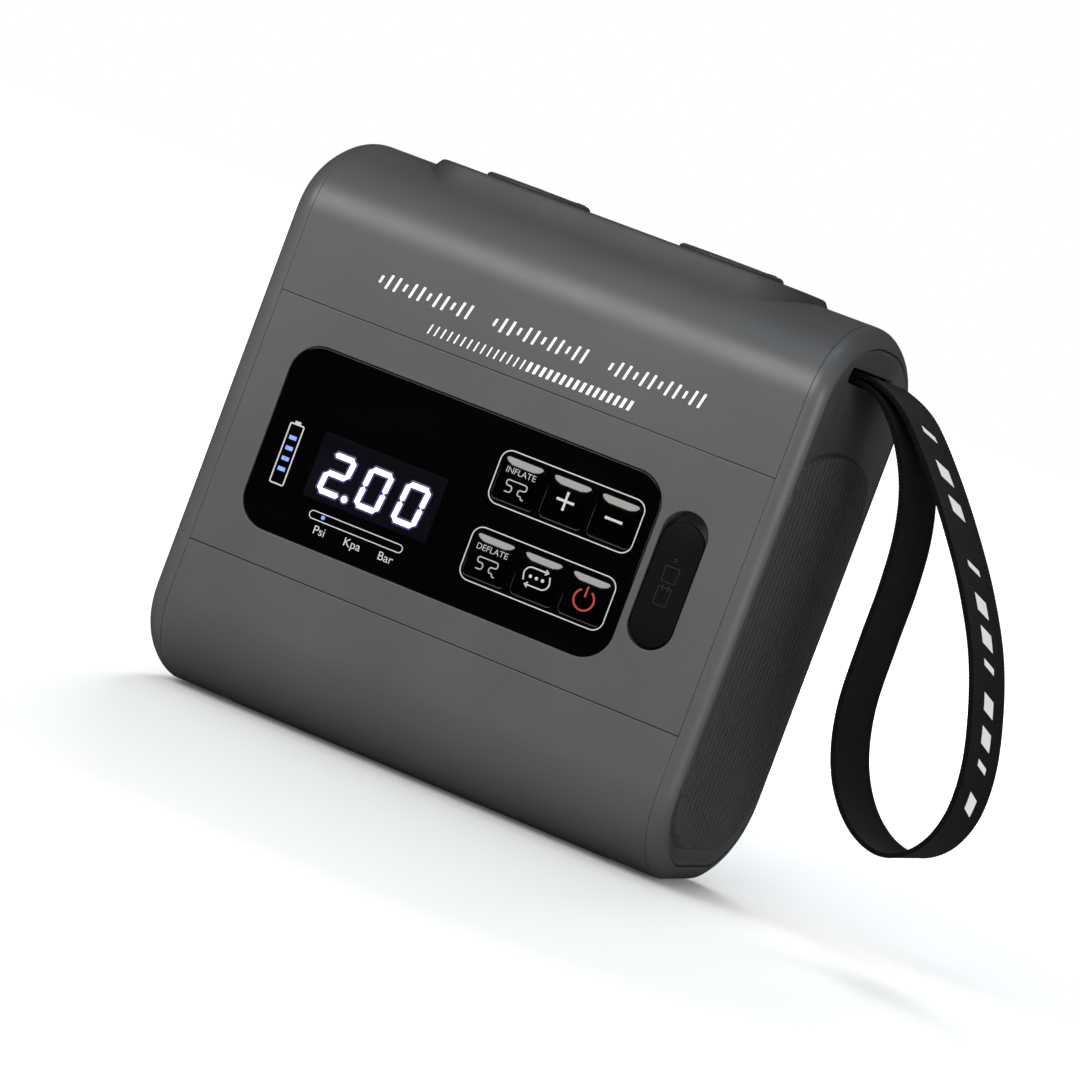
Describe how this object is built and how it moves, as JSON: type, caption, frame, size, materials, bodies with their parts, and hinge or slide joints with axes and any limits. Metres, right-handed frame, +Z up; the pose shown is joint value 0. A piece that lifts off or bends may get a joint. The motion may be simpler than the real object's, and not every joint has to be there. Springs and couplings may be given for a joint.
{
  "type": "electric air mattress pump",
  "caption": "Cordless air pump in an arched dark grey box, with a glossy control panel, two flip-capped ports on top and a wrist strap.",
  "frame": {"origin": "centre of the base pad's underside, on the surface that the pump stands on", "axes": "+X along the body towards the wrist strap, the control panel faces -Y, +Z up through the ports"},
  "size_m": [0.2343, 0.0849, 0.1699],
  "materials": {
    "body_plastic": "fine-textured dark grey moulding, satin on its curves",
    "insert_plastic": "fluted dark grey moulding, slightly glossy ribs",
    "gloss_black": "polished black acrylic",
    "rubber_black": "matt dark rubber",
    "inner_plastic": "plain black moulding",
    "display_light": "lit white-violet segments",
    "circuit_board": "green solder mask",
    "steel": "zinc-plated",
    "cell_wrap": "blue shrink wrap",
    "webbing": "black ribbed polyester webbing"
  },
  "bodies": {
    "root": {"top_shell": "body_plastic", "bottom_shell": "body_plastic", "front_panel": "body_plastic", "rear_panel": "body_plastic", "end_frame_left": "body_plastic", "end_frame_right": "body_plastic", "end_panel_left": "body_plastic", "end_panel_right": "body_plastic", "port_platform": "body_plastic", "charging_pocket": "body_plastic", "fluted_insert_left": "insert_plastic", "fluted_insert_right": "insert_plastic", "control_lens": "gloss_black", "dc_jack": "gloss_black", "pressure_sensor": "gloss_black", "base_pad": "rubber_black", "inflate_seal_ring": "rubber_black", "deflate_seal_ring": "rubber_black", "key_dome_mat": "rubber_black", "sensor_tube": "rubber_black", "inflate_port_collar": "inner_plastic", "deflate_port_collar": "inner_plastic", "intake_screen": "inner_plastic", "lens_carrier": "inner_plastic", "mid_frame": "inner_plastic", "battery_tray": "inner_plastic", "battery_clamp": "inner_plastic", "motor_mount": "inner_plastic", "volute_lower": "inner_plastic", "volute_upper": "inner_plastic", "outlet_duct": "inner_plastic", "strap_anchor": "inner_plastic", "led_display": "display_light", "display_pcb": "circuit_board", "main_pcb": "circuit_board", "motor_can": "steel", "usb_c_socket": "steel", "strap_pin": "steel", "case_screw_1": "steel", "case_screw_2": "steel", "case_screw_3": "steel", "case_screw_4": "steel", "battery_cell_1": "cell_wrap", "battery_cell_2": "cell_wrap", "battery_cell_3": "cell_wrap", "battery_cell_4": "cell_wrap", "strap_tail": "webbing"},
    "inflate_cap": {"inflate_cap": "body_plastic"},
    "deflate_cap": {"deflate_cap": "body_plastic"},
    "charging_flap": {"charging_flap": "rubber_black"},
    "rotor": {"impeller": "inner_plastic", "motor_shaft": "steel"},
    "check_valve": {"check_valve_disc": "rubber_black"},
    "wrist_strap": {"wrist_strap": "webbing"},
    "inflate_key": {"inflate_key": "gloss_black"},
    "plus_key": {"plus_key": "gloss_black"},
    "minus_key": {"minus_key": "gloss_black"},
    "deflate_key": {"deflate_key": "gloss_black"},
    "mode_key": {"mode_key": "gloss_black"},
    "power_key": {"power_key": "gloss_black"}
  },
  "joints": [
    {"name": "inflate_cap_hinge", "type": "hinge", "parent": "root", "child": "inflate_cap", "pos_m": [-0.031, 0.0175, 0.16895], "axis": [-1, 0, 0], "range_deg": [0, 115]},
    {"name": "deflate_cap_hinge", "type": "hinge", "parent": "root", "child": "deflate_cap", "pos_m": [0.031, 0.0175, 0.16895], "axis": [-1, 0, 0], "range_deg": [0, 115]},
    {"name": "charging_flap_hinge", "type": "hinge", "parent": "root", "child": "charging_flap", "pos_m": [0.05935, -0.0418, 0.0629], "axis": [1, 0, 0], "range_deg": [0, 115]},
    {"name": "wrist_strap_swing", "type": "hinge", "parent": "root", "child": "wrist_strap", "pos_m": [0.0812, 0, 0.151], "axis": [0, 1, 0], "range_deg": [-60, 14]},
    {"name": "rotor_spin", "type": "hinge", "parent": "root", "child": "rotor", "pos_m": [0.031, 0, 0.12], "axis": [0, 0, 1], "continuous": true},
    {"name": "check_valve_lift", "type": "hinge", "parent": "root", "child": "check_valve", "pos_m": [-0.031, 0.0084, 0.1477], "axis": [-1, 0, 0], "range_deg": [0, 55]},
    {"name": "inflate_key_travel", "type": "slide", "parent": "root", "child": "inflate_key", "axis": [0, 1, 0], "range_m": [0, 0.0008], "stiffness_N_per_m": 400},
    {"name": "plus_key_travel", "type": "slide", "parent": "root", "child": "plus_key", "axis": [0, 1, 0], "range_m": [0, 0.0008], "stiffness_N_per_m": 400},
    {"name": "minus_key_travel", "type": "slide", "parent": "root", "child": "minus_key", "axis": [0, 1, 0], "range_m": [0, 0.0008], "stiffness_N_per_m": 400},
    {"name": "deflate_key_travel", "type": "slide", "parent": "root", "child": "deflate_key", "axis": [0, 1, 0], "range_m": [0, 0.0008], "stiffness_N_per_m": 400},
    {"name": "mode_key_travel", "type": "slide", "parent": "root", "child": "mode_key", "axis": [0, 1, 0], "range_m": [0, 0.0008], "stiffness_N_per_m": 400},
    {"name": "power_key_travel", "type": "slide", "parent": "root", "child": "power_key", "axis": [0, 1, 0], "range_m": [0, 0.0008], "stiffness_N_per_m": 400}
  ]
}
